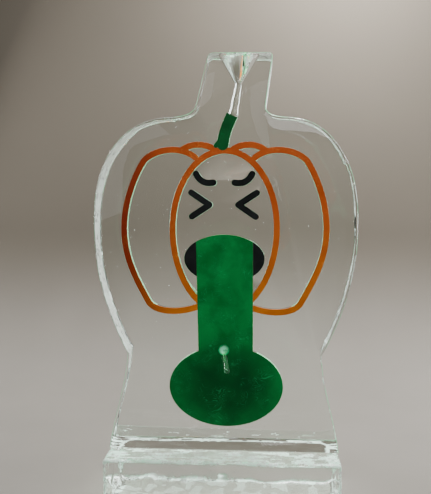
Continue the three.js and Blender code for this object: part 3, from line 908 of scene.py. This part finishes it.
def spout_frost():
    """The rough, frosty ice that lines the drilled hole round the tube's root, as a closed bowl. Its frost
    values make it rougher towards the root and grade the painted green glow of its material from the rim to
    the root.
    """
    centre, hole_radius = spout_hole()
    root_radius = 0.6 * tube_sizes()[2]
    outside = hole_radius - 0.05 * MM
    reach = outside - 0.3 * MM
    front, floor, back = FILL_LOW.y + 0.8 * MM, FILL_LOW.y + 5 * MM, FILL_LOW.y + 6.5 * MM
    mesh = bmesh.new()
    frost_layer = mesh.verts.layers.float.new("frost")
    right, up = Vector((1, 0, 0)), Vector((0, 0, 1))
    rings = [ring_round(mesh, Vector((centre.x, depth, centre.z)), right, up, outside, LINING_SIDES)
             for depth in (back, front)]
    for row in range(LINING_ROWS + 1):
        share = row / LINING_ROWS
        depth = front + (floor - front) * math.sin(share * math.pi / 2)
        size = reach + (root_radius - reach) * share ** 2.2
        ring = []
        for side in range(LINING_SIDES):
            angle = 2 * math.pi * side / LINING_SIDES
            round_place = (math.cos(angle), 3 * share, math.sin(angle))
            rough = size - 0.5 * MM * noise_at(round_place, scale=2.5, seed=3.0)
            spot = (centre.x + rough * math.cos(angle), depth, centre.z + rough * math.sin(angle))
            ring.append(frosted_vert(mesh, [frost_layer], spot, [smoothstep(0.2, 0.95, share)]))
        rings.append(ring)
    for one, other in zip(rings, rings[1:]):
        bridge(mesh, one, other)
    for end in (rings[0], rings[-1]):
        mesh.faces.new(end)
    bmesh.ops.recalc_face_normals(mesh, faces=mesh.faces)
    return object_from(mesh, "spout_frost", ROUND_SHADING)


# Operators, one for each piece or group of like pieces

def dress(piece, slot, material, *nodes):
    """Gives a new piece its body, its material and the CAD nodes that it stands for, which it hides. Its
    slot is not used.
    """
    piece.data.materials.clear()
    piece.data.materials.append(material)
    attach(piece, "root")
    if nodes:
        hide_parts(*nodes)


def coat(node, material):
    """Gives a CAD node its finish."""
    data = NODES[node].data
    data.materials.clear()
    data.materials.append(material)


class LUGE_OT_slab(bpy.types.Operator):
    """Make the carved ice slab with melted rims, hollows and air bubbles"""
    bl_idname = "luge.slab"
    bl_label = "Ice Slab"

    def execute(self, context):
        settings = context.scene.luge_ice
        # The frost colour of the slab's clear ice carries painted green glints.
        clear = ice_material("clear_ice", settings, 0.5 * MM, settings.tint, settings.frost, (0.006, 0.42))
        # Matte sides: pale frost with a painted green glow in their colour.
        side = ice_material("matte_side_glow", settings, 0.8 * MM, settings.tint, settings.side, (0.2, 0.42),
                            clarity=0.7)
        # Milled walls: rough ice coloured all over with a painted green glow.
        milled_glow = ice_material("milled_wall_glow", settings, 0.5 * MM, settings.milled_glow, settings.milled_glow,
                              (0.25, 0.42), clarity=0.5)
        slab = melted_body(settings)
        cut_by_cad(slab)
        shade_smooth(slab.data, SLAB_SHADING)
        add_bubbles(slab, SLAB_LOW, SLAB_HIGH, settings.bubbles, clear, settings)
        dress(slab, "clear_ice", clear, "carved_slab")
        roughen_sides(slab, side, milled_glow)
        spread_crust(slab, crust_material(settings), settings.crust_share)
        return {"FINISHED"}


class LUGE_OT_block(bpy.types.Operator):
    """Make the melted ice block that the slab stands on"""
    bl_idname = "luge.block"
    bl_label = "Ice Block"

    def execute(self, context):
        settings = context.scene.luge_ice
        # The block's frost colour carries painted green glints.
        clear = ice_material("melting_ice", settings, 1.6 * MM, settings.tint, settings.frost, (0.02, 0.42))
        block = melted_block(settings)
        add_bubbles(block, BASE_LOW, BASE_HIGH, settings.block_bubbles, clear, settings)
        dress(block, "clear_ice", clear, "base_block")
        spread_crust(block, crust_material(settings), settings.crust_share)
        return {"FINISHED"}


class LUGE_OT_outline(bpy.types.Operator):
    """Finish the pumpkin's orange outline"""
    bl_idname = "luge.outline"
    bl_label = "Pumpkin Outline"

    def execute(self, context):
        settings = context.scene.luge_fills
        low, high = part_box("pumpkin_outline")
        half_width, half_height = (high.x - low.x) / 2, (high.z - low.z) / 2

        def graded(tree, place):
            axes = node_of(tree, "ShaderNodeSeparateXYZ", {0: place}).outputs
            down = ramped(tree, product(tree, axes["Z"], -1.0 / half_height), -0.35, 1.0)
            left = ramped(tree, product(tree, axes["X"], -1.0 / half_width), 0.45, 1.0)
            return mixed(tree, left, mixed(tree, down, settings.orange, settings.amber), settings.rust)

        def deeper(tree, place):
            return mixed(tree, 0.45, graded(tree, place), settings.rust)

        coat("pumpkin_outline", fill_material(
            "orange_fill", middle_of("pumpkin_outline"), light=graded, dark=deeper,
            mark_colour=settings.yellow, marks=0.45, mark_scale=45.0))
        return {"FINISHED"}


class LUGE_OT_stem(bpy.types.Operator):
    """Finish the dark green stem"""
    bl_idname = "luge.stem"
    bl_label = "Stem"

    def execute(self, context):
        settings = context.scene.luge_fills
        light = [0.5 * (a + b) for a, b in zip(settings.green, settings.deep_green)]
        coat("stem_inlay", fill_material(
            "stem_fill", middle_of("stem_inlay"), light=light, dark=settings.deep_green,
            mark_colour=settings.bright_green, marks=0.25, mark_scale=40.0))
        return {"FINISHED"}


class LUGE_OT_face(bpy.types.Operator):
    """Finish the black brows, eyes and mouth"""
    bl_idname = "luge.face"
    bl_label = "Face"

    def execute(self, context):
        settings = context.scene.luge_fills
        light = [3.0 * channel for channel in settings.black]
        material = fill_material("black_fill", (0.0, 0.0, 0.0), light=light, dark=settings.black,
                                 mark_colour=light, marks=0.5, mark_scale=40.0)
        for node in BLACK_FILLS:
            coat(node, material)
        return {"FINISHED"}


class LUGE_OT_stream(bpy.types.Operator):
    """Finish the green stream and its puddle, with the swirls of the tool"""
    bl_idname = "luge.stream"
    bl_label = "Stream and Puddle"

    def execute(self, context):
        settings = context.scene.luge_fills
        puddle_height = FILL_LOW.z + 0.21 * (FILL_HIGH.z - FILL_LOW.z)
        puddle = Vector(((FILL_LOW.x + FILL_HIGH.x) / 2, FILL_LOW.y, puddle_height))
        reach = (FILL_HIGH.x - FILL_LOW.x) / 2
        shade = [0.6 * channel for channel in settings.green]

        def from_puddle(inner, outer):
            def graded(tree, place):
                flat = stretched(tree, place, (1.0 / reach, 0.0, 1.25 / reach))
                length = node_of(tree, "ShaderNodeVectorMath", {0: flat}, operation="LENGTH")
                return mixed(tree, ramped(tree, length.outputs["Value"], 0.35, 1.3), inner, outer)
            return graded

        coat("stream_and_puddle", fill_material(
            "green_fill", puddle, light=from_puddle(shade, settings.bright_green),
            dark=from_puddle(settings.deep_green, settings.green), mark_colour=settings.scratch,
            marks=0.36, mark_scale=32.0))
        return {"FINISHED"}


class LUGE_OT_spout(bpy.types.Operator):
    """Make the clear spout tube and the frosty ice round its root"""
    bl_idname = "luge.spout"
    bl_label = "Spout"

    def execute(self, context):
        settings = context.scene.luge_ice
        # The clear tube takes a painted green glow as its colour.
        clear = ice_material("clear_tube", settings, 0.03 * MM, settings.tube, settings.crust, (0.02, 0.4),
                             frost=0.04, clarity=0.97, ior=TUBE_IOR)
        dress(clear_tube(), "clear_tube", clear, "spout_tube")
        # The drilled ice's colour is a painted green glow.
        dress(spout_frost(), "clear_ice", drilled_ice_glow(settings))
        return {"FINISHED"}


def backdrop(settings):
    """A pale floor that curves up into a wall behind the sculpture. It can't be seen from its back."""
    near, far, side, height, bend, steps = -6.0, 1.15, 6.0, 3.5, 0.5, 16
    turns = [math.pi / 2 * step / steps for step in range(1, steps + 1)]
    profile = [(near, 0.0), (far - bend, 0.0)]
    profile += [(far - bend + bend * math.sin(turn), bend - bend * math.cos(turn)) for turn in turns]
    profile.append((far, height))
    mesh = bmesh.new()
    left, right = [[mesh.verts.new((x, y, z)) for y, z in profile] for x in (-side, side)]
    for index in range(len(profile) - 1):
        mesh.faces.new((left[index], right[index], right[index + 1], left[index + 1]))
    stage = object_from(mesh, "backdrop", ROUND_SHADING)
    material, tree, shader = new_material("backdrop_paint")
    place = object_place(tree)
    up = node_of(tree, "ShaderNodeSeparateXYZ", {0: place}).outputs["Z"]
    paint = mixed(tree, ramped(tree, up, 0.0, bend), settings.floor, settings.wall)
    mottled = product(tree, noisy(tree, place, scale=4.0, detail=4.0), 0.25)
    darker = [0.6 * channel for channel in settings.wall]
    feed(tree, mixed(tree, mottled, paint, darker), shader.inputs["Base Color"])
    shader.inputs["Roughness"].default_value = 0.85
    clear_where(tree, node_of(tree, "ShaderNodeNewGeometry").outputs["Backfacing"], (1.0, 1.0, 1.0))
    stage.data.materials.append(material)


def soft_light(name, place, aim, size, power):
    data = bpy.data.lights.new(name, "AREA")
    data.shape = "RECTANGLE"
    data.size, data.size_y = size
    data.energy = power
    lamp = bpy.data.objects.new(name, data)
    lamp.location = place
    lamp.rotation_mode = "QUATERNION"
    lamp.rotation_quaternion = (Vector(aim) - Vector(place)).to_track_quat("-Z", "Y")
    bpy.context.scene.collection.objects.link(lamp)


def photo_camera(settings):
    data = bpy.data.cameras.new("camera")
    data.lens = settings.lens
    camera = bpy.data.objects.new("camera", data)
    ahead = Vector((-math.sin(settings.yaw) * math.cos(settings.pitch),
                    math.cos(settings.yaw) * math.cos(settings.pitch), -math.sin(settings.pitch)))
    level = ahead.cross(Vector((0, 0, 1))).normalized()
    top = level.cross(ahead)
    right = level * math.cos(settings.roll) + top * math.sin(settings.roll)
    up = top * math.cos(settings.roll) - level * math.sin(settings.roll)
    camera.location = (settings.side, SLAB_LOW.y - settings.distance, SLAB_LOW.z + settings.height)
    camera.rotation_mode = "QUATERNION"
    camera.rotation_quaternion = Matrix((right, up, -ahead)).transposed().to_quaternion()
    bpy.context.scene.collection.objects.link(camera)
    bpy.context.scene.camera = camera


class LUGE_OT_stage(bpy.types.Operator):
    """Set up the camera, the backdrop and the soft light"""
    bl_idname = "luge.stage"
    bl_label = "Stage"

    def execute(self, context):
        settings = context.scene.luge_stage
        photo_camera(settings)
        backdrop(settings)
        world = bpy.data.worlds.new("surround")
        world.use_nodes = True
        sky = world.node_tree.nodes["Background"]
        sky.inputs["Color"].default_value = (*settings.sky, 1.0)
        sky.inputs["Strength"].default_value = settings.sky_strength
        context.scene.world = world
        middle = (0.0, 0.0, 0.5)
        soft_light("wall_light", (0.4, 0.65, 1.75), (0.22, 1.15, 0.8), (0.3, 0.2), 46.0)
        soft_light("key_light", (0.5, -1.15, 1.6), middle, (0.9, 0.9), 24.0)
        soft_light("fill_light", (-1.0, -1.5, 1.0), middle, (1.0, 1.0), 6.0)
        soft_light("left_edge_light", (-1.15, 0.75, 1.05), middle, (0.35, 1.2), 17.0)
        soft_light("right_edge_light", (1.2, 0.55, 0.9), middle, (0.35, 1.2), 24.0)
        return {"FINISHED"}


# Panel and registration

STEPS = (LUGE_OT_slab, LUGE_OT_block, LUGE_OT_outline, LUGE_OT_stem, LUGE_OT_face, LUGE_OT_stream,
         LUGE_OT_spout, LUGE_OT_stage)
GROUPS = (("luge_ice", LugeIceSettings), ("luge_fills", LugeFillSettings),
          ("luge_stage", LugeStageSettings))


class LUGE_PT_panel(bpy.types.Panel):
    """Lists the sculpture's pieces and settings"""
    bl_idname = "LUGE_PT_panel"
    bl_label = "Ice Luge"
    bl_space_type = "VIEW_3D"
    bl_region_type = "UI"
    bl_category = "Ice Luge"

    def draw(self, context):
        for step in STEPS:
            self.layout.operator(step.bl_idname)
        for name, group in GROUPS:
            box = self.layout.box()
            for key in group.__annotations__:
                box.prop(getattr(context.scene, name), key)


def register():
    for name, group in GROUPS:
        bpy.utils.register_class(group)
        setattr(bpy.types.Scene, name, bpy.props.PointerProperty(type=group))
    for step in STEPS:
        bpy.utils.register_class(step)
    bpy.utils.register_class(LUGE_PT_panel)


def unregister():
    bpy.utils.unregister_class(LUGE_PT_panel)
    for step in reversed(STEPS):
        bpy.utils.unregister_class(step)
    for name, group in reversed(GROUPS):
        delattr(bpy.types.Scene, name)
        bpy.utils.unregister_class(group)


def main():
    register()
    bpy.ops.luge.slab()
    bpy.ops.luge.block()
    bpy.ops.luge.outline()
    bpy.ops.luge.stem()
    bpy.ops.luge.face()
    bpy.ops.luge.stream()
    bpy.ops.luge.spout()
    bpy.ops.luge.stage()


if __name__ == "__main__":
    main()
